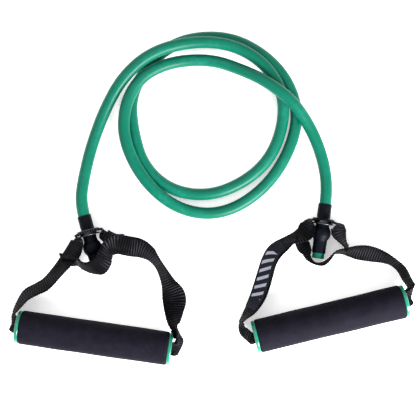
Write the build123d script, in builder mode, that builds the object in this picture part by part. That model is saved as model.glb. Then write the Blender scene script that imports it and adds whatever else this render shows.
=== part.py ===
"""Exercise tube with two foam grip handles, laid on a floor. Millimetres, +Z up.

The rubber tube makes two loose turns. Each end runs through an eyelet in a
webbing strap, and a ball plugged inside the tube stops it from pulling out.
Each strap runs through the core of a foam grip, so the grip can roll on it.
"""
import os
from math import cos, pi, radians, sin, sqrt, tan

from build123d import *

# Rubber tube
TUBE_R = 4.75
BORE_R = 2.5
AXIS_Z = 10.5  # height of the tube's ends, held up by the straps

# Tube end, measured along its axis from the middle of the eyelet
CORD_END = -12.0  # where the free tube meets the stopped end
BEND_START = -25.0  # the free tube is still on the axis here
ARC_SHARE = 0.45  # of the shorter run, taken up by each arc
TAIL_END = {"left": 27.0, "right": 29.8}  # cut by hand, so they differ
BALL_AT = {"left": 12.5, "right": 9.6}  # pulled up to its eyelet more or less
BALL_R = 4.8
BALL_WALL = 2.15  # tube wall stretched over the ball
STEM_LENGTH = 11.0  # from the middle of the ball
SLEEVE_WALL = 0.65
SLEEVE_START = -14.0
SLEEVE_END = {"left": 24.0, "right": 25.5}

# Eyelet
BORE_CLEARANCE = 0.35
EYELET_BORE_R = TUBE_R + SLEEVE_WALL + BORE_CLEARANCE
BARREL_WALL = 0.75
FLANGE_R = 8.6
FLANGE_THICK = 1.2
FLANGE_ROUND = 0.54
FLANGE_GAP = 0.35

# Webbing
WEB_WIDTH = 20.0
WEB_THICK = 1.8
FOLDED_WIDTH = 9.6  # folded double inside the grip
FOLDED_THICK = 2 * WEB_THICK
HOLE_CLEARANCE = 0.3
WEB_HOLE_R = EYELET_BORE_R + BARREL_WALL + HOLE_CLEARANCE
LABEL_WIDTH = 17.0
LABEL_THICK = 0.5
LABEL_GAP = 0.15
STITCH = (0.8, 14.0, 0.4)  # along the strap, across it, proud of it
STITCH_GAP = 0.25
STITCH_ROWS = 2
STITCH_PITCH = 2.0
STITCH_MARGIN = 1.2

# Grip
FOAM_R = 13.5
FOAM_LENGTH = 118.0
CORE_R = 8.5
CORE_BORE_R = 7.25
CAP_R = 13.0
CAP_THICK = 3.0
CAP_HOLE_R = 6.0
CAP_ROUND = 1.2
SPIGOT_LENGTH = 12.0
GRIP_Z = FOAM_R
GRIP_HALF = FOAM_LENGTH / 2 + CAP_THICK
MOUTH_REACH = 3.0  # the folded webbing is straight this far out of a cap

# Each handle: middle of the eyelet, heading of the tube's tail,
# middle of the grip and heading of the grip's axis
EYELET = {"left": (-99, 41), "right": (88, 50)}
TAIL_HEADING = {"left": -75, "right": -98}
GRIP_MIDDLE = {"left": (-94.0, -42.6), "right": (93.2, -27.5)}
GRIP_HEADING = {"left": -8.3, "right": 13.5}
OUTER_END = {"left": -1, "right": 1}  # the end away from the other handle

# The free tube's route between its two straight ends, chosen by hand
ROUTE = [
    (-103, 85, 8.0), (-97, 111, 5.5), (-86, 140, 8.0), (-71, 165, 15.0),
    (-48, 184, 19.0), (-16, 193, 15.0), (15, 191, 13.8), (40, 177, 13.2),
    (56, 154, 11.8), (57, 128, 6.5), (47, 101, 4.8), (27, 82, 4.8),
    (-2, 70, 4.8), (-33, 74, 4.8), (-55, 93, 4.8), (-64, 122, 4.8),
    (-66, 151, 4.8), (-51, 176, 4.8), (-34, 191, 4.8), (-12, 198, 4.8),
    (16, 197, 4.8), (41, 184, 4.8), (60, 164, 4.8), (69, 137, 4.8),
    (63, 109, 4.8), (47, 82, 4.8), (24, 63, 4.8), (0, 55, 4.8),
    (-25, 59, 6.8), (-46, 73, 11.4), (-62, 94, 13.0), (-71, 118, 12.6),
    (-70, 140, 14.0), (-62, 158, 15.0), (-49, 170, 14.4), (-28, 178, 10.5),
    (0, 179, 9.5), (24, 170, 14.5), (43, 160, 21.2), (63, 145, 21.2),
    (79, 123, 12.5), (89, 98, 8.0),
]

# Webbing stations: x, y, z, tilt of the width above level, width, thickness.
# Front: from the cut end over the tube, through the eyelet, down to the cap.
FRONT = {
    "left": [
        (-70.0, 41.6, 11.2, 76, 20, 1.8), (-80.0, 42.6, 10.7, 78, 20, 1.8),
        (-88.8, 43.8, 10.6, 90, 20, 1.8), (-108.4, 38.5, 10.6, 90, 20, 1.8),
        (-112.0, 30.4, 10.5, 74, 20, 1.8), (-116.4, 20.4, 10.2, 58, 20, 1.8),
        (-124.2, 9.8, 9.9, 56, 20, 1.8), (-133.6, 0.0, 9.8, 58, 20, 1.8),
        (-144.6, -8.2, 10.0, 62, 20, 1.8), (-153.6, -16.0, 10.8, 72, 19, 1.8),
        (-159.4, -24.2, 12.0, 84, 15, 2.4),
    ],
    "right": [
        (108.8, 34.4, 12.4, 66, 18, 1.8), (105.4, 41.6, 11.6, 68, 19, 1.8),
        (97.6, 48.6, 10.6, 90, 20, 1.8), (78.4, 51.4, 10.6, 90, 20, 1.8),
        (69.4, 43.6, 10.6, 70, 20, 1.8), (58.0, 33.4, 10.2, 62, 20, 1.8),
        (47.0, 18.0, 9.8, 56, 20, 1.8), (39.0, -1.5, 9.8, 54, 20, 1.8),
        (32.6, -14.8, 10.2, 60, 20, 1.8), (26.0, -25.0, 11.4, 76, 18, 2.0),
        (21.8, -34.0, 12.6, 88, 14, 2.6), (24.0, -40.4, 13.2, 90, 11, 3.2),
    ],
}

# Back: from the end sewn on the front leg, round the tube's tail, to the cap.
BACK = {
    "left": [
        (-107.6, 17.6, 11.6, 70, 18, 1.8), (-103.8, 14.9, 13.0, 70, 18, 1.8),
        (-99.8, 13.2, 14.8, 66, 18, 1.8), (-95.0, 12.8, 17.0, 56, 19, 1.8),
        (-90.4, 14.0, 18.6, 44, 19, 1.8), (-86.4, 18.4, 18.4, 50, 19, 1.8),
        (-84.6, 24.0, 16.6, 58, 19, 1.8), (-82.2, 28.8, 14.0, 52, 19, 1.8),
        (-76.2, 31.4, 11.4, 38, 19, 1.8), (-66.4, 29.9, 9.6, 34, 20, 1.8),
        (-58.1, 28.4, 9.4, 38, 20, 1.8), (-50.9, 24.6, 9.6, 50, 20, 1.8),
        (-46.6, 20.0, 9.9, 62, 20, 1.8), (-41.6, 13.0, 10.2, 66, 20, 1.8),
        (-35.4, 0.8, 10.8, 50, 20, 1.8), (-30.8, -10.6, 11.6, 14, 20, 1.8),
        (-30.6, -22.4, 13.2, 38, 19, 1.8), (-29.8, -32.4, 15.8, 60, 15, 2.2),
        (-26.4, -38.8, 17.4, 74, 13, 2.6), (-24.2, -44.6, 16.4, 82, 11, 3.2),
    ],
    "right": [
        (70.0, 33.8, 10.6, 112, 20, 1.8), (72.4, 30.4, 10.6, 114, 20, 1.8),
        (74.8, 26.4, 10.6, 116, 20, 1.8), (76.4, 21.4, 10.6, 106, 20, 1.8),
        (81.6, 16.6, 10.6, 92, 20, 1.8), (87.6, 16.1, 10.6, 92, 20, 1.8),
        (92.6, 19.4, 10.6, 88, 20, 1.8), (98.0, 25.0, 10.4, 82, 20, 1.8),
        (105.4, 26.2, 9.9, 74, 20, 1.8), (111.0, 25.9, 9.3, 62, 20, 1.8),
        (116.5, 25.2, 8.9, 53, 20, 1.8), (122.5, 24.4, 8.7, 50, 20, 1.8),
        (129.5, 23.0, 8.8, 54, 20, 1.8), (137.0, 20.8, 9.4, 64, 20, 1.8),
        (144.0, 17.4, 10.0, 74, 20, 1.8), (150.4, 12.0, 10.4, 76, 20, 1.8),
        (154.6, 4.4, 11.0, 78, 18, 1.8), (158.6, -3.6, 12.0, 80, 15, 2.4),
    ],
}
LABELLED = slice(5, 9)  # stations of the right front leg under its label


def heading_vector(angle):
    """Level unit vector at an angle from +X."""
    return Vector(cos(radians(angle)), sin(radians(angle)), 0)


def on_tail(side, along):
    """Point on a tube end's axis, measured from the middle of its eyelet."""
    return Vector(*EYELET[side], AXIS_Z) + heading_vector(TAIL_HEADING[side]) * along


def on_grip(side, along):
    """Point on a grip's axis, measured from its middle."""
    return Vector(*GRIP_MIDDLE[side], GRIP_Z) + heading_vector(GRIP_HEADING[side]) * along


def profile_plane(origin, angle):
    """Upright plane through a level axis: X runs along the axis, Y is the radius."""
    along = heading_vector(angle)
    return Plane(origin=origin, x_dir=along, z_dir=along.cross(Vector(0, 0, 1)))


def write(piece, label):
    piece.part.label = label
    export_step(piece.part, f"parts/{label}.step")
    print(f"{label}: {piece.part.volume:.0f} mm3, {len(piece.part.solids())} solid(s)")


def swollen_edge(ball, start, end, neck, swell):
    """Line along a tube wall at the neck radius, bulging to swell over the ball."""
    half_chord = sqrt(swell**2 - neck**2)
    Line((start, neck), (ball - half_chord, neck))
    ThreePointArc((ball - half_chord, neck), (ball, swell), (ball + half_chord, neck))
    Line((ball + half_chord, neck), (end, neck))


def swollen_tube(label, side, start, end, inner, outer):
    """Tube of revolution round the ball; inner and outer are (neck, swell) radii."""
    plane = profile_plane(on_tail(side, 0), TAIL_HEADING[side])
    with BuildPart() as tube:
        with BuildSketch(plane):
            with BuildLine():
                swollen_edge(BALL_AT[side], start, end, *inner)
                swollen_edge(BALL_AT[side], start, end, *outer)
                Line((start, inner[0]), (start, outer[0]))
                Line((end, inner[0]), (end, outer[0]))
            make_face()
        revolve(axis=Axis(plane.origin, plane.x_dir))
    write(tube, f"{side}_{label}")


def tube_stop(side):
    """Tube end stretched over a plugged ball, and the sleeve that covers both."""
    stretched = BALL_R + BALL_WALL
    covered = TUBE_R + SLEEVE_WALL
    swell = stretched + SLEEVE_WALL
    swollen_tube("tube_end", side, CORD_END, TAIL_END[side], (BORE_R, BALL_R), (TUBE_R, stretched))
    swollen_tube("sleeve", side, SLEEVE_START, SLEEVE_END[side], (TUBE_R, stretched), (covered, swell))
    plane = profile_plane(on_tail(side, BALL_AT[side]), TAIL_HEADING[side])
    neck_at = sqrt(BALL_R**2 - BORE_R**2)
    with BuildPart() as plug:
        with BuildSketch(plane):
            with BuildLine():
                ThreePointArc((-BALL_R, 0), (0, BALL_R), (neck_at, BORE_R))
                Line((neck_at, BORE_R), (STEM_LENGTH, BORE_R))
                Line((STEM_LENGTH, BORE_R), (STEM_LENGTH, 0))
                Line((STEM_LENGTH, 0), (-BALL_R, 0))
            make_face()
        revolve(axis=Axis(plane.origin, plane.x_dir))
    write(plug, f"{side}_ball_plug")


def eyelet(side):
    """Flanged barrel through the webbing, and the washer crimped on its far side."""
    barrel_r = EYELET_BORE_R + BARREL_WALL
    flange_face = WEB_THICK / 2 + FLANGE_GAP
    reach = flange_face + FLANGE_THICK
    axis_plane = Plane(origin=on_tail(side, 0), z_dir=heading_vector(TAIL_HEADING[side]))
    with BuildPart() as grommet:
        with BuildSketch(axis_plane.offset(-reach)):
            Circle(barrel_r)
        extrude(amount=2 * reach)
        with BuildSketch(axis_plane.offset(flange_face)):
            Circle(FLANGE_R)
        extrude(amount=FLANGE_THICK)
        with BuildSketch(axis_plane.offset(-reach)):
            Circle(EYELET_BORE_R)
        extrude(amount=2 * reach, mode=Mode.SUBTRACT)
        rims = grommet.edges().filter_by(GeomType.CIRCLE).filter_by(lambda e: e.radius == FLANGE_R)
        fillet(rims, FLANGE_ROUND)
    write(grommet, f"{side}_eyelet")
    with BuildPart() as washer:
        with BuildSketch(axis_plane.offset(-reach)):
            Circle(FLANGE_R)
            Circle(barrel_r, mode=Mode.SUBTRACT)
        extrude(amount=FLANGE_THICK)
        rims = washer.edges().filter_by(GeomType.CIRCLE).filter_by(lambda e: e.radius == FLANGE_R)
        fillet(rims, FLANGE_ROUND)
    write(washer, f"{side}_eyelet_washer")


def grip(side):
    """Foam sleeve on a plastic core, with a flanged cap pressed in at each end."""
    axis = heading_vector(GRIP_HEADING[side])
    low_end = Plane(origin=on_grip(side, -FOAM_LENGTH / 2), z_dir=axis)
    for label, outer, inner in (("foam_grip", FOAM_R, CORE_R), ("grip_core", CORE_R, CORE_BORE_R)):
        with BuildPart() as shell:
            with BuildSketch(low_end):
                Circle(outer)
                Circle(inner, mode=Mode.SUBTRACT)
            extrude(amount=FOAM_LENGTH)
        write(shell, f"{side}_{label}")
    for label, end in (("outer_cap", OUTER_END[side]), ("inner_cap", -OUTER_END[side])):
        face = Plane(origin=on_grip(side, end * GRIP_HALF), z_dir=axis * -end)
        with BuildPart() as cap:
            with BuildSketch(face):
                Circle(CAP_R)
            extrude(amount=CAP_THICK)
            rim = cap.edges().filter_by(GeomType.CIRCLE)
            fillet(rim, CAP_ROUND)
            with BuildSketch(face.offset(CAP_THICK)):
                Circle(CORE_BORE_R)
            extrude(amount=SPIGOT_LENGTH)
            with BuildSketch(face):
                Circle(CAP_HOLE_R)
            extrude(amount=CAP_THICK + SPIGOT_LENGTH, mode=Mode.SUBTRACT)
        write(cap, f"{side}_{label}")


def station_planes(stations):
    """Plane across the webbing at each station: X spans its width, Z runs along it."""
    points = [Vector(*station[:3]) for station in stations]
    planes = []
    runs = [(after - before).normalized() for before, after in zip(points, points[1:])]
    for i, (point, station) in enumerate(zip(points, stations)):
        along = (runs[max(i - 1, 0)] + runs[min(i, len(runs) - 1)]).normalized()
        level = Vector(-along.Y, along.X, 0).normalized()
        upright = along.cross(level)
        tilt = radians(station[3])
        planes.append(Plane(origin=point, x_dir=level * cos(tilt) + upright * sin(tilt), z_dir=along))
    return planes


def ribbon(label, planes, widths, thicknesses, hole=None):
    """Flat strip lofted straight from each plane to the next, with a round hole."""
    with BuildPart() as strip:
        for plane, width, thickness in zip(planes, widths, thicknesses):
            with BuildSketch(plane):
                Rectangle(width, thickness)
        loft(ruled=True)
        if hole:
            with BuildSketch(hole.offset(-WEB_WIDTH / 4)):
                Circle(WEB_HOLE_R)
            extrude(amount=WEB_WIDTH / 2, mode=Mode.SUBTRACT)
    write(strip, label)


def strap_run(side, stations, end):
    """Stations of one leg, carried on into the mouth of the grip at that end."""
    mouth = [
        (*on_grip(side, end * (GRIP_HALF + reach)), 90, FOLDED_WIDTH, FOLDED_THICK)
        for reach in (MOUTH_REACH, 0)
    ]
    return stations + mouth


def strap(side):
    """One webbing strap in three runs: front leg, folded run in the core, back leg."""
    eyelet_plane = Plane(origin=on_tail(side, 0), z_dir=heading_vector(TAIL_HEADING[side]))
    runs = (("strap_front", FRONT[side], -1, eyelet_plane), ("strap_back", BACK[side], 1, None))
    for label, stations, end, hole in runs:
        stations = strap_run(side, stations, end)
        widths = [station[4] for station in stations]
        thicknesses = [station[5] for station in stations]
        ribbon(f"{side}_{label}", station_planes(stations), widths, thicknesses, hole)
    axis = heading_vector(GRIP_HEADING[side])
    mouth = Plane(origin=on_grip(side, -GRIP_HALF), x_dir=(0, 0, 1), z_dir=axis)
    with BuildPart() as folded:
        with BuildSketch(mouth):
            Rectangle(FOLDED_WIDTH, FOLDED_THICK)
        extrude(amount=2 * GRIP_HALF)
    write(folded, f"{side}_strap_core")


def stitches(side):
    """Rows of thread across the strap where its two cut ends are sewn down."""
    along, across, proud = STITCH
    with BuildPart() as rows:
        for stations in (FRONT[side], BACK[side]):
            cut_end = station_planes(stations[:2])[0]
            for row in range(STITCH_ROWS):
                middle = cut_end.origin + cut_end.z_dir * (STITCH_MARGIN + row * STITCH_PITCH)
                face = Plane(origin=middle, x_dir=cut_end.x_dir, z_dir=cut_end.y_dir)
                with BuildSketch(face.offset(WEB_THICK / 2 + STITCH_GAP)):
                    Rectangle(across, along)
                extrude(amount=proud)
    write(rows, f"{side}_stitching")


def label_patch():
    """Plain woven label on the outer face of the right strap's front leg."""
    stations = FRONT["right"]
    lift = WEB_THICK / 2 + LABEL_GAP + LABEL_THICK / 2
    planes = [plane.shift_origin(plane.origin + plane.y_dir * lift) for plane in station_planes(stations)]
    count = LABELLED.stop - LABELLED.start
    ribbon("right_label", planes[LABELLED], [LABEL_WIDTH] * count, [LABEL_THICK] * count)


def free_tube():
    """Solid tube along straight runs joined by tangent arcs."""
    ends = {side: [on_tail(side, CORD_END), on_tail(side, BEND_START)] for side in EYELET}
    points = ends["left"] + [Vector(*point) for point in ROUTE] + ends["right"][::-1]
    radii = []
    for before, corner, after in zip(points, points[1:], points[2:]):
        turn = radians((corner - before).get_angle(after - corner))
        shorter = min((corner - before).length, (after - corner).length)
        radii.append(ARC_SHARE * shorter / tan(turn / 2))
    with BuildPart() as tube:
        with BuildLine() as path:
            FilletPolyline(*points, radius=radii)
        with BuildSketch(Plane(origin=points[0], z_dir=points[1] - points[0])):
            Circle(TUBE_R)
        sweep(path=path.line)
    write(tube, "tube")
    length = sum(edge.length for edge in path.edges())
    print("arc radii", [round(radius) for radius in radii])
    filled = tube.part.volume / (pi * TUBE_R**2 * length)
    print(f"tube length {length:.0f} mm, volume / (section x length) {filled:.4f}")


os.makedirs("parts", exist_ok=True)
free_tube()
for handle in ("left", "right"):
    tube_stop(handle)
    eyelet(handle)
    grip(handle)
    strap(handle)
    stitches(handle)
label_patch()
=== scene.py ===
"""Looks of an exercise tube with two foam grip handles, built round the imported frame.

Everything is in metres in the frame's own axes. Lists in millimetres are scaled by MM.
"""

from math import cos, pi, radians, sin, sqrt, tanh

import bpy
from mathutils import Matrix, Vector, noise


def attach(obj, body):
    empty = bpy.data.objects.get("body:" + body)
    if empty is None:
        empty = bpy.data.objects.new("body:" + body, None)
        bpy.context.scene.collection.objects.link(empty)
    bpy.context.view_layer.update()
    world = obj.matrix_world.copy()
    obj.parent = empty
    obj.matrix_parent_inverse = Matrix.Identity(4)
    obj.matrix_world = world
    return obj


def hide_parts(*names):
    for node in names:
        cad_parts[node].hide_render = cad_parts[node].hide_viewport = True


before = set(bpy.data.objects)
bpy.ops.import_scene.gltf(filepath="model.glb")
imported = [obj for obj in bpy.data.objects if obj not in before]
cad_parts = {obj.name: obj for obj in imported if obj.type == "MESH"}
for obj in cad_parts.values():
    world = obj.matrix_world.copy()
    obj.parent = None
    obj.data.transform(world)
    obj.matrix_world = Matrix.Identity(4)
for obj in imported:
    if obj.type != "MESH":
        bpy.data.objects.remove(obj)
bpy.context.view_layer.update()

MM = 0.001
UP = Vector((0, 0, 1))

# Sizes in millimetres, the same as the frame's. Places along a tube's end are measured
# from the middle of its eyelet, negative towards the free tube.
TUBE_R = 4.75
BORE_R = 2.5
AXIS_Z = 10.5  # height of the tube's two ends
CORD_END = -12.0  # where the free tube meets the stopped end
BEND_START = -25.0  # the end is straight up to here
TAIL_END = {"left": 27.0, "right": 29.8}
BALL_AT = {"left": 12.5, "right": 9.6}
BALL_R = 4.8
BALL_WALL = 2.15
SLEEVE_WALL = 0.65
SLEEVE_START = -14.0
SLEEVE_END = {"left": 24.0, "right": 25.5}
EYELET_BORE_R = 5.75
BARREL_R = 6.5
FLANGE_R = 8.6
FLANGE_FACE = 1.25  # from the middle of the webbing
FLANGE_THICK = 1.2
WEB_HOLE_R = 7.0
FOAM_R = 13.5
FOAM_HALF = 59.0
CORE_R = 8.5
CAP_R = 13.0
CAP_THICK = 3.0
CAP_HOLE_R = 6.0
SPIGOT_R = 7.25
SPIGOT_LENGTH = 12.0
GRIP_HALF = FOAM_HALF + CAP_THICK
MOUTH_REACH = 2.2  # the folded webbing is straight this far out of a cap
WEB_WIDTH = 20.0
WEB_THICK = 1.8
FOLDED_WIDTH = 9.6  # folded double inside the grip

SIDES = ("left", "right")
EYELET = {"left": (-99, 41), "right": (88, 50)}
# Headings are in degrees from +X
TAIL_HEADING = {"left": -75, "right": -98}
GRIP_MIDDLE = {"left": (-94.0, -42.6), "right": (93.2, -27.5)}
GRIP_HEADING = {"left": -8.3, "right": 13.5}
OUTER_END = {"left": -1, "right": 1}  # along the grip's heading

# The free tube's route between its two straight ends
ROUTE = [
    (-103, 85, 8.0), (-97, 111, 5.5), (-86, 140, 8.0), (-71, 165, 15.0),
    (-48, 184, 19.0), (-16, 193, 15.0), (15, 191, 13.8), (40, 177, 13.2),
    (56, 154, 11.8), (57, 128, 6.5), (47, 101, 4.8), (27, 82, 4.8),
    (-2, 70, 4.8), (-33, 74, 4.8), (-55, 93, 4.8), (-64, 122, 4.8),
    (-66, 151, 4.8), (-51, 176, 4.8), (-34, 191, 4.8), (-12, 198, 4.8),
    (16, 197, 4.8), (41, 184, 4.8), (60, 164, 4.8), (69, 137, 4.8),
    (63, 109, 4.8), (47, 82, 4.8), (24, 63, 4.8), (0, 55, 4.8),
    (-25, 59, 6.8), (-46, 73, 11.4), (-62, 94, 13.0), (-71, 118, 12.6),
    (-70, 140, 14.0), (-62, 158, 15.0), (-49, 170, 14.4), (-28, 178, 10.5),
    (0, 179, 9.5), (24, 170, 14.5), (43, 160, 21.2), (63, 145, 21.2),
    (79, 123, 12.5), (89, 98, 8.0),
]

# Webbing stations: x, y, z, tilt of the width above level, width, thickness
FRONT = {
    "left": [
        (-70.4, 35.0, 9.8, 120, 18, 1.8), (-76.4, 35.4, 9.8, 118, 20, 1.8),
        (-81.4, 37.0, 10.2, 120, 20, 1.8), (-86.2, 39.2, 10.4, 124, 20, 1.8),
        (-88.8, 43.8, 10.6, 90, 20, 1.8),
        (-108.4, 38.5, 10.6, 90, 20, 1.8), (-107.9, 34.4, 10.6, 56, 20, 1.8),
        (-109.2, 30.0, 10.5, 48, 20, 1.8), (-111.6, 25.0, 10.3, 44, 20, 1.8),
        (-116.4, 19.2, 10.1, 50, 20, 1.8), (-124.2, 9.8, 9.9, 56, 20, 1.8),
        (-132.9, 0.2, 9.8, 58, 20, 1.8), (-140.4, -4.0, 9.9, 62, 20, 1.8),
        (-148.4, -8.4, 10.1, 62, 20, 1.8), (-152.6, -13.6, 10.4, 66, 20, 1.8),
        (-156.8, -20.2, 11.2, 74, 18, 2.0), (-159.4, -25.6, 12.2, 84, 14, 2.6),
    ],
    "right": [
        (105.4, 32.0, 11.4, 74, 18, 1.8), (102.8, 36.6, 11.4, 60, 18, 1.8),
        (100.6, 41.4, 11.2, 46, 19, 1.8), (100.0, 45.6, 10.9, 54, 20, 1.8),
        (97.6, 48.6, 10.6, 90, 20, 1.8), (78.4, 51.4, 10.6, 90, 20, 1.8),
        (76.0, 46.6, 10.5, 56, 20, 1.8), (73.8, 41.2, 10.3, 50, 20, 1.8),
        (68.3, 37.9, 10.2, 62, 20, 1.8), (62.6, 35.6, 10.1, 69, 20, 1.8),
        (56.3, 31.2, 10.0, 60, 20, 1.8), (49.6, 25.8, 9.9, 53, 20, 1.8),
        (45.1, 18.2, 9.8, 54, 20, 1.8), (42.3, 9.4, 9.8, 53, 20, 1.8),
        (39.5, -0.2, 9.8, 52, 20, 1.8), (35.8, -10.5, 9.9, 55, 20, 1.8),
        (30.7, -19.8, 10.6, 66, 20, 1.8), (24.4, -27.6, 11.6, 84, 18, 2.0),
        (21.2, -33.4, 12.6, 90, 14, 2.6), (22.8, -39.0, 13.2, 90, 11, 3.2),
    ],
}
BACK = {
    "left": [
        (-107.6, 17.6, 11.6, 70, 18, 1.8), (-103.8, 14.9, 13.0, 70, 18, 1.8),
        (-99.8, 13.2, 14.8, 66, 18, 1.8), (-95.0, 12.8, 17.0, 56, 19, 1.8),
        (-90.4, 14.0, 18.6, 44, 19, 1.8), (-86.4, 18.4, 18.4, 50, 19, 1.8),
        (-84.6, 24.0, 16.6, 58, 19, 1.8), (-82.2, 28.8, 14.0, 52, 19, 1.8),
        (-76.2, 31.4, 11.4, 38, 19, 1.8), (-66.4, 29.9, 9.6, 34, 20, 1.8),
        (-58.1, 28.4, 9.4, 38, 20, 1.8), (-50.9, 24.6, 9.6, 50, 20, 1.8),
        (-46.6, 20.0, 9.9, 62, 20, 1.8), (-41.6, 13.0, 10.2, 66, 20, 1.8),
        (-35.4, 0.8, 10.8, 50, 20, 1.8), (-30.8, -10.6, 11.6, 14, 20, 1.8),
        (-30.6, -22.4, 13.2, 38, 19, 1.8), (-29.8, -32.4, 15.8, 60, 15, 2.2),
        (-26.4, -38.8, 17.4, 74, 13, 2.6), (-24.2, -44.6, 16.4, 82, 11, 3.2),
    ],
    "right": [
        (70.0, 33.8, 10.6, 122, 20, 1.8), (72.4, 30.4, 10.6, 128, 20, 1.8),
        (74.8, 26.4, 10.6, 120, 20, 1.8), (76.4, 21.4, 10.6, 106, 20, 1.8),
        (81.6, 16.6, 10.6, 92, 20, 1.8), (87.6, 16.1, 10.6, 92, 20, 1.8),
        (92.6, 19.4, 10.6, 88, 20, 1.8), (98.0, 25.0, 10.4, 82, 20, 1.8),
        (105.4, 26.2, 9.9, 74, 20, 1.8), (111.0, 25.9, 9.3, 62, 20, 1.8),
        (116.5, 25.2, 8.9, 53, 20, 1.8), (122.5, 24.4, 8.7, 50, 20, 1.8),
        (129.5, 23.0, 8.8, 54, 20, 1.8), (137.0, 20.8, 9.4, 64, 20, 1.8),
        (144.0, 17.4, 10.0, 74, 20, 1.8), (150.4, 12.0, 10.4, 76, 20, 1.8),
        (154.6, 4.4, 11.0, 78, 18, 1.8), (158.6, -3.6, 12.0, 80, 15, 2.4),
    ],
}

# The back leg's cut end, sewn into the front leg
SEWN_END = {
    "left": [(-120.8, 19.6, 9.2, 58, 16, 1.8), (-113.8, 18.6, 10.4, 62, 18, 1.8)],
    "right": [(66.8, 38.0, 10.6, 110, 20, 1.8)],
}
# The front leg's cut end, sewn to the back leg
SEWN_TIP = {"left": [], "right": [(107.6, 28.2, 11.0, 74, 18, 1.8)]}

# Webbing detail
RIB_PITCH = 2.0
RIB_HEIGHT = 0.3
SCALLOP = 0.16  # how far each edge dips between two ribs
ROWS_PER_RIB = 8
ACROSS_STEPS = 22
EDGE_THICKNESS = 0.22  # share of the thickness left at the two edges
EDGE_SHARPNESS = 10
YARN_PITCH = 0.62
WEB_HOLE_DEPTH = 6.0  # the eyelet's hole is cut this far each side of its middle

# How the webbing curls up where it narrows to enter a grip
FULL_CURL = radians(120)
CURL_SOFTNESS = 3.0
CURL_FROM = 2.2  # a station thicker than this is curled
LEAST_CURL = 0.01
CURL_HALVINGS = 14
SINK_EASE = 4

# Places of the webbing inside a grip, from its ends
UPRIGHT = 90
MOUTH_DEPTH = 8.0
BACK_DEPTH = 20.0
FRONT_SHORT = 10.0

# The label lies over these stations of the right front leg
LABEL_STATIONS = (10, 16)
LABEL_WIDTH = 17.4
LABEL_THICK = 0.5
LABEL_LIFT = 0.18  # its middle stands this far off the webbing's face
LABEL_STEP = 0.5
TWILL_PITCH = 0.42
BAR_PITCH = 7.0
BAR_SLANT = 0.45
BAR_HALF = 0.2  # share of the pitch
BARS_HALF_WIDTH = 6.2
BARS_MIDDLE = 29.0  # along the label
BARS_HALF_LENGTH = 20.0

# Thread at each cut end of the webbing
STITCH_ROWS = (1.4, 3.4)  # from the cut end
STITCH_STEP = 0.4
STITCH_REACH = 6  # stitches each side of the middle
STITCH_PITCH = 1.15
STITCH_LIFT = 0.05
STITCH_HALF = 0.62
THREAD_FLAT = 0.3
THREAD_HIGH = 0.34
THREAD_RING = 8

# Turned pieces
RING = 96
WALL_STEP = 0.6
EASE_LENGTH = 4.0  # a wall eases from the ball's swelling to its neck over this length
EASE_HEIGHT = 0.16
TUBE_LIP = 0.35
SLEEVE_LIP = 0.3
SKIN_GAP = 0.02  # between the sleeve's inside and the tube
RIM_ROUND = 0.5
CAP_ROUND = 1.2
CORNER_SHARE = 0.45  # the most of an outline's side that a corner's arc takes up
FOAM_STEPS = 60
FOAM_ROUND = 1.1
FOAM_INSET = 0.12
FOAM_ARC = (20, 45, 70)  # degrees

# The free tube
TUBE_RING = 40
LINE_STEPS = 14
TUBE_UNEVEN = 0.008  # share of its radius
TUBE_UNEVEN_PER_MM = 0.03

SHARP_ANGLE = radians(50)
TAIL_SEED, SLEEVE_SEED, GRIP_SEED, SEED_STEP = 3.0, 7.0, 11.0, 5


def heading_vector(angle):
    """Level unit vector at an angle from +X."""
    return Vector((cos(radians(angle)), sin(radians(angle)), 0))


def on_tail(side, along):
    """Point on a tube end's axis, in millimetres from the middle of its eyelet."""
    return Vector((*EYELET[side], AXIS_Z)) + heading_vector(TAIL_HEADING[side]) * along


def on_grip(side, along):
    """Point on a grip's axis, in millimetres from its middle."""
    return Vector((*GRIP_MIDDLE[side], FOAM_R)) + heading_vector(GRIP_HEADING[side]) * along


def new_piece(name, verts, faces, material, body, slot, nodes, uvs=None):
    """Mesh object from points in millimetres, riding on a body, standing for nodes."""
    mesh = bpy.data.meshes.new(name)
    mesh.from_pydata([tuple(Vector(v) * MM) for v in verts], [], faces)
    if uvs:
        layer = mesh.uv_layers.new(name="UVMap")
        for loop in mesh.loops:
            layer.data[loop.index].uv = uvs[loop.vertex_index]
    mesh.validate()
    mesh.polygons.foreach_set("use_smooth", [True] * len(mesh.polygons))
    mesh.set_sharp_from_angle(angle=SHARP_ANGLE)
    if material:
        mesh.materials.append(material)
    piece = bpy.data.objects.new(name, mesh)
    bpy.context.collection.objects.link(piece)
    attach(piece, body)
    if nodes:
        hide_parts(*nodes)
    return piece


# ---------------------------------------------------------------- camera
CAMERA_PLACE = (-2.1, 59.0, 808.0)
LENS = 85.7


def make_camera():
    """Camera straight above, as the photograph's."""
    data = bpy.data.cameras.new("camera")
    data.lens = LENS
    camera = bpy.data.objects.new("camera", data)
    camera.location = Vector(CAMERA_PLACE) * MM
    bpy.context.collection.objects.link(camera)
    bpy.context.scene.camera = camera


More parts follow.
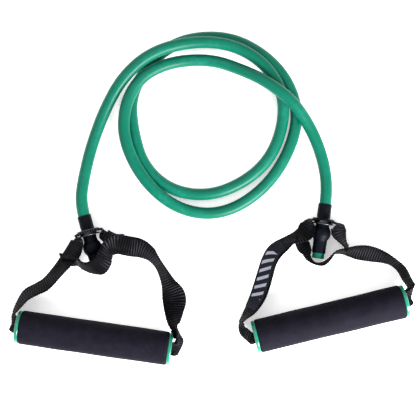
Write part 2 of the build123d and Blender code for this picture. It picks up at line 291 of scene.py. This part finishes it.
# ---------------------------------------------------------------- the cord
def route_line():
    """Points along the route's smooth NURBS line, in metres."""
    points = [on_tail("left", CORD_END), on_tail("left", BEND_START)]
    points += [Vector(point) for point in ROUTE]
    points += [on_tail("right", BEND_START), on_tail("right", CORD_END)]
    curve = bpy.data.curves.new("tube_line", "CURVE")
    curve.dimensions = "3D"
    spline = curve.splines.new("NURBS")
    spline.points.add(len(points) - 1)
    for place, point in zip(spline.points, points):
        place.co = (*(point * MM), 1)
    spline.order_u = 3
    spline.use_endpoint_u = True
    curve.resolution_u = LINE_STEPS
    line = bpy.data.objects.new("tube_line", curve)
    bpy.context.collection.objects.link(line)
    graph = bpy.context.evaluated_depsgraph_get()
    mesh = bpy.data.meshes.new_from_object(line.evaluated_get(graph))
    found = [vertex.co.copy() for vertex in mesh.vertices]
    bpy.data.objects.remove(line)
    bpy.data.meshes.remove(mesh)
    return found


def make_tube():
    """The free tube, swept along its line, a little uneven in thickness."""
    line = route_line()
    verts, uvs, length = [], [], 0.0
    for i, point in enumerate(line):
        before, after = line[max(i - 1, 0)], line[min(i + 1, len(line) - 1)]
        along = (after - before).normalized()
        sideways = along.cross(UP).normalized()
        upright = sideways.cross(along)
        length += (point - line[i - 1]).length / MM if i else 0.0
        for step in range(TUBE_RING):
            turn = 2 * pi * step / TUBE_RING
            bump = noise.noise(Vector((length * TUBE_UNEVEN_PER_MM, cos(turn), sin(turn))))
            radius = TUBE_R * (1 + TUBE_UNEVEN * bump)
            out = sideways * cos(turn) + upright * sin(turn)
            verts.append(point / MM + out * radius)
            uvs.append((length, turn * TUBE_R))
    faces = []
    for i in range(len(line) - 1):
        for step in range(TUBE_RING):
            here, there = i * TUBE_RING, (i + 1) * TUBE_RING
            following = (step + 1) % TUBE_RING
            faces.append((here + step, there + step, there + following, here + following))
    last = (len(line) - 1) * TUBE_RING
    faces.append(tuple(range(TUBE_RING)))
    faces.append(tuple(last + step for step in reversed(range(TUBE_RING))))
    tube = new_piece(
        "tube_rubber", verts, faces, uvs=uvs,
        material=None, body="tube", slot="tube_rubber", nodes=["tube"],
    )
    return tube


make_camera()
tube = make_tube()


# ---------------------------------------------------------------- materials
def srgb(red, green, blue):
    """Linear colour from 0-255 screen values."""
    def linear(value):
        value /= 255
        return value / 12.92 if value <= 0.04045 else ((value + 0.055) / 1.055) ** 2.4
    return (linear(red), linear(green), linear(blue), 1)


class Look:
    """A node material round one Principled shader. Texture scales are per millimetre."""

    def __init__(self, name, **settings):
        self.material = bpy.data.materials.new(name)
        self.material.use_nodes = True
        self.nodes = self.material.node_tree.nodes
        self.links = self.material.node_tree.links
        self.shader = self.nodes["Principled BSDF"]
        for socket, value in settings.items():
            self.shader.inputs[socket.replace("_", " ")].default_value = value
        self.place = self.add("TexCoord").outputs["Object"]

    def feed(self, socket, value):
        """Link a node's socket to another node, or set it to a constant."""
        if isinstance(value, bpy.types.NodeSocket):
            self.links.new(value, socket)
        else:
            socket.default_value = value

    def add(self, kind, inputs=(), **settings):
        node = self.nodes.new("ShaderNode" + kind)
        for name, value in settings.items():
            setattr(node, name, value)
        for name, value in dict(inputs).items():
            self.feed(node.inputs[name], value)
        return node

    def noise(self, per_mm, detail=3, rough=0.5, warp=0):
        inputs = {
            "Vector": self.place,
            "Scale": per_mm / MM,
            "Detail": detail,
            "Roughness": rough,
            "Distortion": warp,
        }
        return self.add("TexNoise", inputs).outputs["Fac"]

    def cells(self, per_mm):
        inputs = {"Vector": self.place, "Scale": per_mm / MM}
        return self.add("TexVoronoi", inputs).outputs["Distance"]

    def span(self, value, low, high, to_low=0.0, to_high=1.0):
        """The value's range low..high spread over another, held at both ends."""
        inputs = {0: value, 1: low, 2: high, 3: to_low, 4: to_high}
        return self.add("MapRange", inputs).outputs[0]

    def math(self, operation, first, second=0.0):
        return self.add("Math", {0: first, 1: second}, operation=operation).outputs[0]

    def within(self, value, middle, reach):
        """One where the value is nearer to the middle than the reach, else nothing."""
        off = self.math("ABSOLUTE", self.math("SUBTRACT", value, middle))
        return self.math("LESS_THAN", off, reach)

    def web_place(self):
        """Millimetres along the webbing and across it."""
        uv = self.add("TexCoord").outputs["UV"]
        split = self.add("SeparateXYZ", {0: uv})
        return split.outputs[0], split.outputs[1]

    def mix(self, factor, first, second):
        node = self.add("Mix", data_type="RGBA")
        for index, value in ((0, factor), (6, first), (7, second)):
            self.feed(node.inputs[index], value)
        return node.outputs[2]

    def bump(self, height, depth_mm, below=None):
        inputs = {"Height": height, "Distance": depth_mm * MM, "Strength": 1.0}
        if below:
            inputs["Normal"] = below
        return self.add("Bump", inputs).outputs[0]

    def finish(self, color=None, roughness=None, normal=None):
        made = {"Base Color": color, "Roughness": roughness, "Normal": normal}
        for socket, value in made.items():
            if value is not None:
                self.links.new(value, self.shader.inputs[socket])
        return self.material


def tube_look(name, fresh, wear_and_crest_highlight):
    """Latex: soft gloss, faint chalky bloom and small scuffs."""
    look = Look(name, Specular_IOR_Level=0.12, Coat_Weight=0.06, Coat_Roughness=0.25)
    patches = look.span(look.noise(0.035, 4, 0.6), 0.42, 0.68)
    mottle = look.noise(0.22, 5, 0.65)
    grain = look.noise(2.2, 2, 0.5)
    scuffs = look.span(look.noise(0.6, 6, 0.75, warp=1.5), 0.6, 0.74)
    bloom = look.math("MULTIPLY", patches, look.span(mottle, 0.35, 0.7))
    color = look.mix(look.math("MULTIPLY", bloom, 0.34), fresh, wear_and_crest_highlight)
    color = look.mix(look.math("MULTIPLY", scuffs, 0.22), color, wear_and_crest_highlight)
    roughness = look.span(look.math("ADD", bloom, scuffs), 0.0, 1.2, 0.36, 0.6)
    normal = look.bump(mottle, 0.12)
    normal = look.bump(grain, 0.025, normal)
    return look.finish(color, roughness, normal)


def sleeve_look():
    """Heat-shrunk rubber: satin, slightly orange-peeled, with a few pale rubs."""
    look = Look("sleeve", Specular_IOR_Level=0.07)
    peel = look.noise(0.9, 3, 0.5)
    rubs = look.span(look.noise(0.25, 6, 0.7, warp=1.0), 0.55, 0.75)
    color = look.mix(look.math("MULTIPLY", rubs, 0.35), srgb(4, 6, 13), srgb(26, 30, 42))
    roughness = look.span(peel, 0.3, 0.7, 0.38, 0.56)
    return look.finish(color, roughness, look.bump(peel, 0.06))


def foam_look():
    """Closed-cell foam: fine pores, soft mottling and light scuffs along the grip."""
    look = Look("foam", Specular_IOR_Level=0.05)
    pores = look.span(look.cells(1.9), 0.05, 0.5)
    grain = look.noise(1.6, 4, 0.7)
    mottle = look.noise(0.12, 4, 0.6)
    scuffs = look.span(look.noise(0.35, 6, 0.75, warp=0.8), 0.57, 0.74)
    color = look.mix(look.span(mottle, 0.3, 0.7), srgb(11, 10, 18), srgb(19, 18, 27))
    speckle = look.math("MULTIPLY", look.span(grain, 0.45, 0.75), 0.5)
    color = look.mix(speckle, color, srgb(30, 29, 39))
    color = look.mix(look.math("MULTIPLY", scuffs, 0.25), color, srgb(50, 49, 60))
    roughness = look.span(grain, 0.3, 0.7, 0.62, 0.82)
    normal = look.bump(pores, 0.05)
    normal = look.bump(grain, 0.1, normal)
    return look.finish(color, roughness, normal)


def cap_look():
    """Injection-moulded plastic: glossy, with faint flow marks and hairline scratches."""
    look = Look("cap", Specular_IOR_Level=0.4, Coat_Weight=0.25, Coat_Roughness=0.12)
    flow = look.noise(0.12, 3, 0.5, warp=1.2)
    marks = look.span(look.noise(1.4, 5, 0.8, warp=2.0), 0.6, 0.7)
    color = look.mix(look.span(flow, 0.35, 0.65), srgb(2, 104, 80), srgb(4, 120, 94))
    color = look.mix(look.math("MULTIPLY", marks, 0.25), color, srgb(90, 176, 156))
    roughness = look.span(marks, 0.0, 1.0, 0.2, 0.42)
    return look.finish(color, roughness, look.bump(marks, 0.02))


def metal_look():
    """Satin plated steel: fine turning marks, small dull spots."""
    look = Look("eyelet", Metallic=1.0)
    spots = look.noise(0.9, 5, 0.7)
    marks = look.noise(6.0, 2, 0.5)
    color = look.mix(look.span(spots, 0.4, 0.7), srgb(84, 86, 90), srgb(44, 44, 48))
    roughness = look.span(spots, 0.3, 0.7, 0.22, 0.46)
    return look.finish(color, roughness, look.bump(marks, 0.015))


def web_look():
    """Woven webbing: each rib is a row of yarns that cross it, with a painted highlight along
    the crests.
    """
    look = Look("webbing", Specular_IOR_Level=0.04)
    along, across = look.web_place()
    phase = look.math("MULTIPLY", along, pi / RIB_PITCH)
    crest = look.math("POWER", look.math("ABSOLUTE", look.math("SINE", phase)), 8.0)
    yarn = look.math("SINE", look.math("MULTIPLY", across, 2 * pi / YARN_PITCH))
    yarn = look.span(yarn, -1, 1)
    fuzz = look.noise(4.5, 3, 0.7)
    patches = look.noise(0.07, 3, 0.55)
    # Painted highlight along the rib crests. Its strength varies in random patches and across
    # the yarns, and it lifts the near-black base towards pale grey.
    wear_and_crest_highlight = look.math("MULTIPLY", crest, look.span(patches, 0.4, 0.62, 0.05, 0.9))
    wear_and_crest_highlight = look.math("MULTIPLY", wear_and_crest_highlight, look.span(yarn, 0, 1, 0.6, 1.0))
    color = look.mix(wear_and_crest_highlight, srgb(1, 1, 2), srgb(60, 60, 68))
    color = look.mix(look.span(fuzz, 0.64, 0.8, 0, 0.4), color, srgb(34, 34, 40))
    roughness = look.span(fuzz, 0.3, 0.7, 0.55, 0.75)
    normal = look.bump(yarn, 0.1)
    normal = look.bump(fuzz, 0.08, normal)
    return look.finish(color, roughness, normal)


def label_look():
    """Satin woven label: tight diagonal weave, with a row of plain slanted bars."""
    look = Look("label", Specular_IOR_Level=0.06)
    along, across = look.web_place()
    slant = look.math("ADD", along, look.math("MULTIPLY", across, BAR_SLANT))
    phase = look.math("FRACT", look.math("DIVIDE", slant, BAR_PITCH))
    bar = look.within(phase, 0.5, BAR_HALF)
    inside = look.within(across, 0.0, BARS_HALF_WIDTH)
    middle = look.within(along, BARS_MIDDLE, BARS_HALF_LENGTH)
    motif = look.math("MULTIPLY", bar, look.math("MULTIPLY", inside, middle))
    diagonal = look.math("ADD", along, across)
    twill = look.math("SINE", look.math("MULTIPLY", diagonal, 2 * pi / TWILL_PITCH))
    thread = look.noise(3.2, 3, 0.6)
    motif = look.math("MULTIPLY", motif, look.span(thread, 0.25, 0.55, 0.45, 0.9))
    color = look.mix(look.span(thread, 0.3, 0.75), srgb(5, 7, 16), srgb(16, 18, 32))
    color = look.mix(motif, color, srgb(168, 170, 184))
    roughness = look.span(thread, 0.3, 0.7, 0.42, 0.6)
    normal = look.bump(look.span(twill, -1, 1), 0.05)
    return look.finish(color, roughness, normal)


def plain_look(name, base, light):
    """Dark yarn or hidden plastic, with a fine grain."""
    look = Look(name, Specular_IOR_Level=0.4)
    grain = look.noise(2.4, 4, 0.6)
    color = look.mix(look.span(grain, 0.3, 0.7), base, light)
    roughness = look.span(grain, 0.3, 0.7, 0.5, 0.72)
    return look.finish(color, roughness, look.bump(grain, 0.05))


RUBBER = tube_look("rubber", srgb(0, 90, 70), srgb(16, 134, 114))
RUBBER_END = tube_look("rubber_end", srgb(0, 92, 72), srgb(16, 134, 114))
SLEEVE = sleeve_look()
FOAM = foam_look()
CAP = cap_look()
METAL = metal_look()
WEBBING = web_look()
LABEL = label_look()
THREAD = plain_look("thread", srgb(22, 22, 26), srgb(52, 52, 58))
HIDDEN = plain_look("core_plastic", srgb(40, 40, 42), srgb(58, 58, 60))
tube.data.materials.append(RUBBER)


# ---------------------------------------------------------------- mesh helpers
def rounded(profile, radius, steps=5):
    """Closed outline with each corner cut to a small arc."""
    outline = []
    for i, corner in enumerate(profile):
        here = Vector(corner)
        before = Vector(profile[i - 1]) - here
        after = Vector(profile[(i + 1) % len(profile)]) - here
        cut = min(radius, before.length * CORNER_SHARE, after.length * CORNER_SHARE)
        start = here + before.normalized() * cut
        end = here + after.normalized() * cut
        for step in range(steps + 1):
            t = step / steps
            outline.append(start * (1 - t) ** 2 + here * 2 * t * (1 - t) + end * t * t)
    return outline


def lathe(name, outline, origin, axis, wobble=None, **kwargs):
    """Closed outline of (along, radius) points turned about a level axis."""
    sideways = axis.cross(UP)
    verts = []
    for along, radius in outline:
        for step in range(RING):
            turn = 2 * pi * step / RING
            out = sideways * cos(turn) + UP * sin(turn)
            grow = wobble(along, turn) if wobble else 0
            verts.append(origin + axis * along + out * (radius + grow))
    count = len(outline)
    faces = []
    for i in range(count):
        for step in range(RING):
            following = (step + 1) % RING
            a, b = i * RING, (i + 1) % count * RING
            faces.append((a + step, a + following, b + following, b + step))
    return new_piece(name, verts, faces, **kwargs)


def swollen(ball, start, end, neck, swell):
    """Points along a wall at the neck radius, eased out to swell over the ball."""
    half = sqrt(swell**2 - neck**2)
    points = []
    count = int((end - start) / WALL_STEP)
    for i in range(count + 1):
        along = start + (end - start) * i / count
        off = abs(along - ball)
        radius = neck
        if off < half:
            radius = sqrt(swell**2 - off**2)
        elif off < half + EASE_LENGTH:
            radius = neck + EASE_HEIGHT * (1 - (off - half) / EASE_LENGTH) ** 2
        points.append((along, radius))
    return points


def bevel_end(wall, end, radius, lip):
    """Cut a wall's last corner by a lip, which is negative on the inside of a bore."""
    wall[-1:] = [(end - abs(lip), radius), (end, radius - lip)]


def uneven(size, per_mm, seed):
    """Slight swelling of a turned surface, smooth both along and round it."""
    def grow(along, turn):
        place = Vector((along * per_mm, 2 * cos(turn) + seed, 2 * sin(turn)))
        return size * noise.noise(place)
    return grow


# ---------------------------------------------------------------- turned pieces
def make_tail(side, seed):
    """Stopped tube end and the sleeve over it."""
    axis = heading_vector(TAIL_HEADING[side])
    origin = on_tail(side, 0)
    stretched = BALL_R + BALL_WALL
    ball = BALL_AT[side]
    end = TAIL_END[side]
    outer = swollen(ball, CORD_END, end, TUBE_R, stretched)
    inner = swollen(ball, CORD_END, end, BORE_R, BALL_R)
    bevel_end(outer, end, TUBE_R, TUBE_LIP)
    bevel_end(inner, end, BORE_R, -TUBE_LIP)
    lathe(
        f"{side}_tube_end_rubber", outer + inner[::-1], origin, axis, uneven(0.1, 0.12, seed),
        material=RUBBER_END, body="tube", slot="tube_end_rubber", nodes=[f"{side}_tube_end"],
    )
    covered = TUBE_R + SLEEVE_WALL
    start, end = SLEEVE_START, SLEEVE_END[side]
    outer = swollen(ball, start, end, covered, stretched + SLEEVE_WALL)
    inner = swollen(ball, start, end, TUBE_R + SKIN_GAP, stretched + SKIN_GAP)
    outer[:1] = [(start, covered - SLEEVE_LIP), (start + SLEEVE_LIP, covered)]
    bevel_end(outer, end, covered, SLEEVE_LIP)
    wobble = uneven(0.16, 0.2, seed + SLEEVE_SEED)
    lathe(
        f"{side}_sleeve_skin", outer + inner[::-1], origin, axis, wobble,
        material=SLEEVE, body="tube", slot="sleeve_rubber", nodes=[f"{side}_sleeve"],
    )


def make_eyelet(side):
    """Flanged barrel and crimped washer, with rolled rims."""
    axis = heading_vector(TAIL_HEADING[side])
    origin = on_tail(side, 0)
    reach = FLANGE_FACE + FLANGE_THICK
    barrel = [
        (-reach, EYELET_BORE_R), (reach, EYELET_BORE_R), (reach, FLANGE_R),
        (FLANGE_FACE, FLANGE_R), (FLANGE_FACE, BARREL_R), (-reach, BARREL_R),
    ]
    washer = [
        (-reach, BARREL_R), (-FLANGE_FACE, BARREL_R),
        (-FLANGE_FACE, FLANGE_R), (-reach, FLANGE_R),
    ]
    for label, outline, node in (
        ("barrel", barrel, "eyelet"), ("washer", washer, "eyelet_washer"),
    ):
        lathe(
            f"{side}_eyelet_{label}_metal", rounded(outline, RIM_ROUND), origin, axis,
            material=METAL, body=f"{side}_eyelet", slot="eyelet_metal", nodes=[f"{side}_{node}"],
        )


def make_grip(side, seed):
    """Foam sleeve with soft ends, and a glossy flanged cap in each end."""
    axis = heading_vector(GRIP_HEADING[side])
    origin = on_grip(side, 0)
    wobble = uneven(0.28, 0.035, seed)
    full = FOAM_R - FOAM_INSET
    outer = [
        (-FOAM_HALF + 2 * FOAM_HALF * i / FOAM_STEPS, full) for i in range(1, FOAM_STEPS)
    ]
    outer += [(-FOAM_HALF, FOAM_R - FOAM_ROUND), (FOAM_HALF, FOAM_R - FOAM_ROUND)]
    for turn in FOAM_ARC:
        drop = FOAM_ROUND * (1 - cos(radians(90 - turn)))
        inset = FOAM_ROUND * (1 - sin(radians(90 - turn)))
        outer += [(FOAM_HALF - drop, full - inset), (-FOAM_HALF + drop, full - inset)]
    outer.sort()
    inner = [(FOAM_HALF, CORE_R), (-FOAM_HALF, CORE_R)]
    foam = lathe(
        f"{side}_foam_sleeve", outer + inner, origin, axis, wobble,
        material=FOAM, body=f"{side}_grip", slot="grip_foam", nodes=[f"{side}_foam_grip"],
    )
    inmost = CAP_THICK + SPIGOT_LENGTH
    cap = [
        (0, CAP_HOLE_R), (0, CAP_R), (CAP_THICK, CAP_R), (CAP_THICK, SPIGOT_R),
        (inmost, SPIGOT_R), (inmost, CAP_HOLE_R),
    ]
    for label, end in (("outer_cap", OUTER_END[side]), ("inner_cap", -OUTER_END[side])):
        face = on_grip(side, end * GRIP_HALF)
        lathe(
            f"{side}_{label}_moulding", rounded(cap, CAP_ROUND), face, axis * -end,
            material=CAP, body=f"{side}_grip", slot="cap_plastic", nodes=[f"{side}_{label}"],
        )


# ---------------------------------------------------------------- webbing
def smooth_rows(stations, step):
    """Even rows on a smooth line through the stations, as (point, values, length so far)."""
    places = [Vector(s[:3]) for s in stations]
    gaps = [(b - a).length for a, b in zip(places, places[1:])]
    slopes = []
    for i in range(len(stations)):
        low, high = max(i - 1, 0), min(i + 1, len(stations) - 1)
        span = sum(gaps[low:high])
        slopes.append([(b - a) / span for a, b in zip(stations[low], stations[high])])
    rows, length = [], 0.0
    for i, gap in enumerate(gaps):
        count = max(2, round(gap / step))
        for k in range(count + (i == len(gaps) - 1)):
            t = k / count
            blend = (2 * t**3 - 3 * t**2 + 1, (t**3 - 2 * t**2 + t) * gap,
                     -2 * t**3 + 3 * t**2, (t**3 - t**2) * gap)
            rows.append([
                blend[0] * a + blend[1] * sa + blend[2] * b + blend[3] * sb
                for a, sa, b, sb in zip(stations[i], slopes[i], stations[i + 1], slopes[i + 1])
            ])
    made = []
    for i, row in enumerate(rows):
        if i:
            length += (Vector(row[:3]) - Vector(rows[i - 1][:3])).length
        made.append((Vector(row[:3]), row[3:], length))
    return made


def across_places(half):
    """Places across the webbing, closer together at its two edges."""
    return [
        half * sin(pi / 2 * (2 * j / ACROSS_STEPS - 1)) for j in range(ACROSS_STEPS + 1)
    ]


def curled_line(places, curl):
    """Cross-section of webbing with both halves curled up, as (x, y, direction)."""
    line, x, y = [], 0.0, 0.0
    for j, place in enumerate(places):
        angle = curl * tanh(place / CURL_SOFTNESS)
        if j:
            run = place - places[j - 1]
            x += cos(angle) * run
            y += sin(angle) * run
        line.append((x, y, angle))
    middle = (line[0][0] + line[-1][0]) / 2
    lowest = min(point[1] for point in line)
    return [(px - middle, py - lowest, angle) for px, py, angle in line]


def curl_to(places, width):
    """How far each half curls up when the webbing narrows to a width."""
    low, high = 0.0, FULL_CURL
    for _ in range(CURL_HALVINGS):
        middle = (low + high) / 2
        across = [x for x, _y, _angle in curled_line(places, middle)]
        if max(across) - min(across) > width:
            low = middle
        else:
            high = middle
    return low


def web_directions(along, tilt):
    """Directions across the webbing and out of its face, at a tilt above level."""
    level = Vector((-along.y, along.x, 0)).normalized()
    wide = level * cos(radians(tilt)) + along.cross(level) * sin(radians(tilt))
    return wide, along.cross(wide)


def web_section(row, along, ribbed, lift, inward):
    """Upper and lower points across the webbing at one row, and their places across."""
    point, (tilt, width, thick), length = row
    wide, face = web_directions(along, tilt)
    rib = abs(sin(pi * length / RIB_PITCH)) if ribbed else 1.0
    half = WEB_WIDTH / 2 - SCALLOP * (1 - rib) if ribbed else width / 2
    places = across_places(half)
    narrowed, curl = 0.0, 0.0
    if ribbed:
        narrowed = max(0.0, min(1.0, (thick - CURL_FROM) / (2 * WEB_THICK - CURL_FROM)))
        narrowed = max(0.0, narrowed * (WEB_WIDTH - width) / (WEB_WIDTH - FOLDED_WIDTH))
        if narrowed > LEAST_CURL:
            curl = curl_to(places, WEB_WIDTH - (WEB_WIDTH - FOLDED_WIDTH) * narrowed)
    line = curled_line(places, curl)
    sink = max(y for _x, y, _angle in line) / 2 * min(1.0, narrowed) ** SINK_EASE
    full = WEB_THICK if ribbed else thick
    upper, lower = [], []
    for place, (x, y, angle) in zip(places, line):
        edge = min(1.0, EDGE_THICKNESS + (1 - (abs(place) / half) ** EDGE_SHARPNESS))
        half_thick = full / 2 * edge - RIB_HEIGHT * (1 - rib)
        middle = point + wide * x + face * (lift + inward * (y - sink))
        out = (face * cos(angle) - wide * (inward * sin(angle))) * half_thick
        upper.append(middle + out)
        lower.append(middle - out)
    return upper, lower, places


def ribbon(name, rows, ribbed, lift, inward, is_hole, **kwargs):
    """Closed slab of webbing along the rows, with cells left out where is_hole says."""
    verts, uvs = [], []
    for i, row in enumerate(rows):
        before, after = rows[max(i - 1, 0)][0], rows[min(i + 1, len(rows) - 1)][0]
        along = (after - before).normalized()
        upper, lower, places = web_section(row, along, ribbed, lift, inward)
        verts += upper + lower
        uvs += [(row[2], place) for place in places] * 2
    wide = len(places)
    ring = 2 * wide
    holes = {
        (i, j)
        for i in range(len(rows) - 1)
        for j in range(wide - 1)
        if any(is_hole(verts[r * ring + c]) for r in (i, i + 1) for c in (j, j + 1))
    }
    faces = []
    for i in range(len(rows) - 1):
        for j in range(wide - 1):
            if (i, j) in holes:
                continue
            a, b = i * ring + j, (i + 1) * ring + j
            faces.append((a, a + 1, b + 1, b))
            faces.append((a + wide, b + wide, b + wide + 1, a + wide + 1))
            sides = (
                ((i - 1, j), a + 1, a), ((i + 1, j), b, b + 1),
                ((i, j - 1), a, b), ((i, j + 1), b + 1, a + 1),
            )
            for (ni, nj), p, q in sides:
                outside = ni < 0 or nj < 0 or ni >= len(rows) - 1 or nj >= wide - 1
                if outside or (ni, nj) in holes:
                    faces.append((p, q, q + wide, p + wide))
    return new_piece(name, verts, faces, uvs=uvs, **kwargs)


def strap_stations(side, stations, end, depth):
    """A leg's stations, carried on through the grip's mouth to a depth inside it."""
    reaches = (
        GRIP_HALF + MOUTH_REACH, GRIP_HALF, GRIP_HALF - MOUTH_DEPTH, GRIP_HALF - depth,
    )
    folded = (UPRIGHT, FOLDED_WIDTH, 2 * WEB_THICK)
    return stations + [(*on_grip(side, end * reach), *folded) for reach in reaches]


def nowhere(point):
    return False


def make_strap(side):
    """Front and back legs of the webbing; the front one runs on through the grip."""
    axis = heading_vector(TAIL_HEADING[side])
    middle = on_tail(side, 0)

    def in_eyelet(point):
        off = point - middle
        along = off.dot(axis)
        return abs(along) < WEB_HOLE_DEPTH and (off - axis * along).length < WEB_HOLE_R

    # The grip's end that a leg enters is also the side its edges curl to
    legs = (
        ("front", SEWN_TIP[side] + FRONT[side], -1, 2 * GRIP_HALF - FRONT_SHORT,
         in_eyelet, ("strap_front", "strap_core")),
        ("back", SEWN_END[side] + BACK[side], 1, BACK_DEPTH, nowhere, ("strap_back",)),
    )
    for label, stations, end, depth, is_hole, nodes in legs:
        stations = strap_stations(side, stations, end, depth)
        rows = smooth_rows(stations, RIB_PITCH / ROWS_PER_RIB)
        ribbon(
            f"{side}_{label}_webbing", rows, True, 0.0, end, is_hole,
            material=WEBBING, body=f"{side}_strap", slot="webbing",
            nodes=[f"{side}_{node}" for node in nodes],
        )


def make_label():
    """Smooth woven label on the outer face of the right strap's front leg."""
    leg = smooth_rows(FRONT["right"], LABEL_STEP)

    def nearest(station):
        place = Vector(FRONT["right"][station][:3])
        return min(range(len(leg)), key=lambda i: (leg[i][0] - place).length)

    begin, stop = [nearest(station) for station in LABEL_STATIONS]
    start = leg[begin][2]
    rows = [
        (point, [values[0], LABEL_WIDTH, LABEL_THICK], length - start)
        for point, values, length in leg[begin:stop + 1]
    ]
    ribbon(
        "right_woven_label", rows, False, WEB_THICK / 2 + LABEL_LIFT, 1, nowhere,
        material=LABEL, body="right_strap", slot="label", nodes=["right_label"],
    )


def add_stitch(verts, faces, centre, along, wide, face):
    """One plump stitch lying across the webbing."""
    base = len(verts)
    for a in range(THREAD_RING + 1):
        swing = pi * a / THREAD_RING
        for b in range(THREAD_RING):
            turn = 2 * pi * b / THREAD_RING
            out = along * cos(turn) * THREAD_FLAT + face * sin(turn) * THREAD_HIGH
            verts.append(centre - wide * cos(swing) * STITCH_HALF + out * sin(swing))
    for a in range(THREAD_RING):
        here, there = base + a * THREAD_RING, base + (a + 1) * THREAD_RING
        for b in range(THREAD_RING):
            c = (b + 1) % THREAD_RING
            faces.append((here + b, here + c, there + c, there + b))


def make_stitches(side):
    """Two rows of short thread stitches across each cut end of the webbing."""
    verts, faces = [], []
    for stations in (FRONT[side], BACK[side]):
        rows = smooth_rows(stations[:3], STITCH_STEP)
        for distance in STITCH_ROWS:
            i = min(range(1, len(rows) - 1), key=lambda k: abs(rows[k][2] - distance))
            along = (rows[i + 1][0] - rows[i - 1][0]).normalized()
            wide, face = web_directions(along, rows[i][1][0])
            middle = rows[i][0] + face * (WEB_THICK / 2 + STITCH_LIFT)
            for place in range(-STITCH_REACH, STITCH_REACH + 1):
                centre = middle + wide * (place * STITCH_PITCH)
                add_stitch(verts, faces, centre, along, wide, face)
    new_piece(
        f"{side}_thread", verts, faces,
        material=THREAD, body=f"{side}_strap", slot="thread", nodes=[f"{side}_stitching"],
    )


for number, side in enumerate(SIDES):
    make_tail(side, TAIL_SEED + SEED_STEP * number)
    make_eyelet(side)
    make_grip(side, GRIP_SEED + SEED_STEP * number)
    make_strap(side)
    make_stitches(side)
    for hidden in ("ball_plug", "grip_core"):
        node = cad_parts[f"{side}_{hidden}"]
        node.data.materials.clear()
        node.data.materials.append(HIDDEN)
make_label()


# ---------------------------------------------------------------- floor and light
FLOOR_HALF = 3.0
WHITE = (1, 1, 1, 1)
LIGHTS = (  # name, place, watts, width
    ("key", (0.44, -0.56, 0.44), 25, 0.4),
    ("fill", (-0.5, 0.6, 1.0), 4, 1.0),
)
LIT_PLACE = (0, 0.05, 0)


def make_floor():
    """Plain pale floor, lit up a little so that it stays white."""
    mesh = bpy.data.meshes.new("floor")
    corners = [
        (x * FLOOR_HALF, y * FLOOR_HALF, 0) for x, y in ((-1, -1), (1, -1), (1, 1), (-1, 1))
    ]
    mesh.from_pydata(corners, [], [(0, 1, 2, 3)])
    look = Look(
        "floor", Specular_IOR_Level=0.1, Roughness=0.9,
        Emission_Color=WHITE, Emission_Strength=0.4,
    )
    grain = look.noise(0.02, 4, 0.5)
    color = look.mix(grain, srgb(247, 247, 247), srgb(250, 250, 250))
    mesh.materials.append(look.finish(color))
    floor = bpy.data.objects.new("floor", mesh)
    bpy.context.collection.objects.link(floor)


def area_light(name, place, power, size):
    data = bpy.data.lights.new(name, "AREA")
    data.energy = power
    data.size = size
    light = bpy.data.objects.new(name, data)
    light.location = place
    aim = Vector(LIT_PLACE) - Vector(place)
    light.rotation_euler = aim.to_track_quat("-Z", "Y").to_euler()
    bpy.context.collection.objects.link(light)


make_floor()
for light in LIGHTS:
    area_light(*light)
world = bpy.data.worlds.new("studio")
world.use_nodes = True
background = world.node_tree.nodes["Background"]
background.inputs["Color"].default_value = WHITE
background.inputs["Strength"].default_value = 1.0
bpy.context.scene.world = world
bpy.context.scene.view_settings.view_transform = "Standard"
